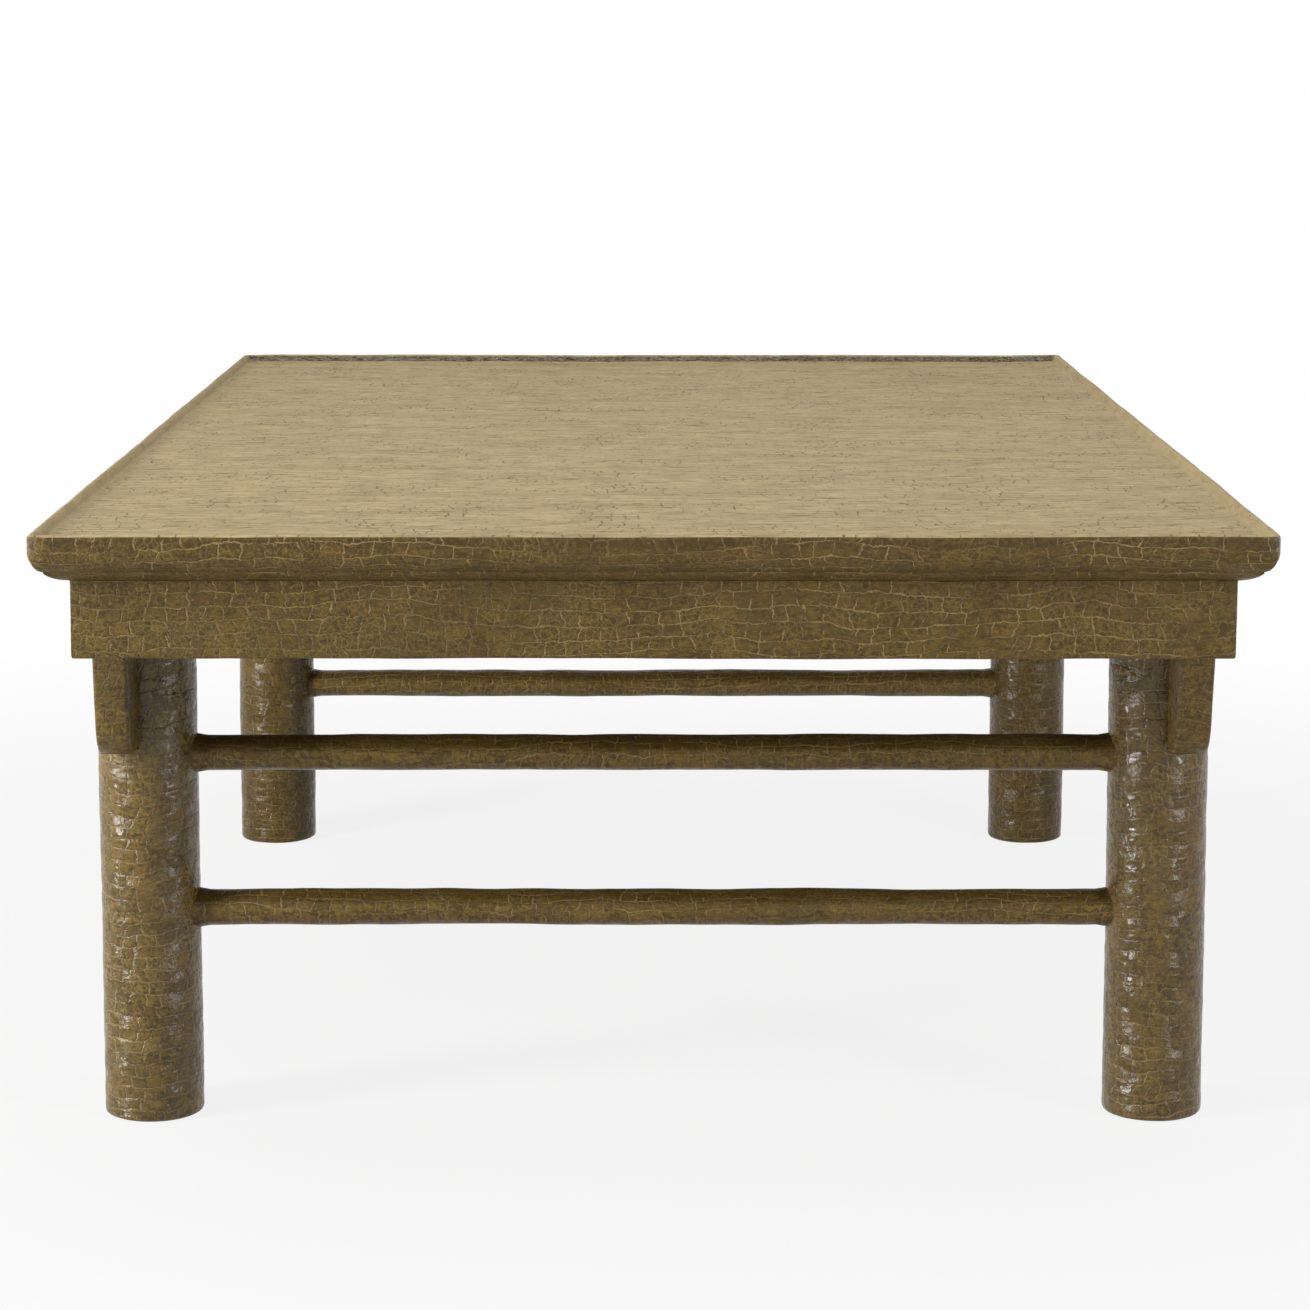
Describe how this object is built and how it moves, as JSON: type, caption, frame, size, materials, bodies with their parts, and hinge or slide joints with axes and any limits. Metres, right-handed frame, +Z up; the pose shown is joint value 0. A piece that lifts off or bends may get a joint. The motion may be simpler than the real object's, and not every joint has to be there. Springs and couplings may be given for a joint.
{
  "type": "coffee table",
  "caption": "Low rectangular table with recessed round legs, straight aprons, plain spandrels, end stretchers and a lipped, moulded top in crackled olive-brown lacquer.",
  "frame": {"origin": "on the floor under the middle of the top", "axes": "+Z up, +Y along the length towards the rear end, +X across the width to the right"},
  "size_m": [0.887, 1.42, 0.484],
  "materials": {
    "crackled_lacquer": "aged crackled lacquer, olive brown, satin with glossy patches",
    "bare_wood": "planed, unfinished"
  },
  "bodies": {
    "root": {"apron_corner_splines": "bare_wood", "end_apron_front": "crackled_lacquer", "end_apron_rear": "crackled_lacquer", "frame_corner_pegs": "bare_wood", "leg_front_left": "crackled_lacquer", "leg_front_right": "crackled_lacquer", "leg_rear_left": "crackled_lacquer", "leg_rear_right": "crackled_lacquer", "lower_stretcher_front": "crackled_lacquer", "lower_stretcher_rear": "crackled_lacquer", "panel_batten_front": "bare_wood", "panel_batten_middle": "bare_wood", "panel_batten_rear": "bare_wood", "panel_board_1": "crackled_lacquer", "panel_board_2": "crackled_lacquer", "panel_board_3": "crackled_lacquer", "panel_board_4": "crackled_lacquer", "side_apron_left": "crackled_lacquer", "side_apron_right": "crackled_lacquer", "spandrel_front_left": "crackled_lacquer", "spandrel_front_right": "crackled_lacquer", "spandrel_rear_left": "crackled_lacquer", "spandrel_rear_right": "crackled_lacquer", "top_frame_front": "crackled_lacquer", "top_frame_left": "crackled_lacquer", "top_frame_rear": "crackled_lacquer", "top_frame_right": "crackled_lacquer", "top_lip_front": "crackled_lacquer", "top_lip_left": "crackled_lacquer", "top_lip_rear": "crackled_lacquer", "top_lip_right": "crackled_lacquer", "upper_stretcher_front": "crackled_lacquer", "upper_stretcher_rear": "crackled_lacquer"}
  },
  "joints": []
}
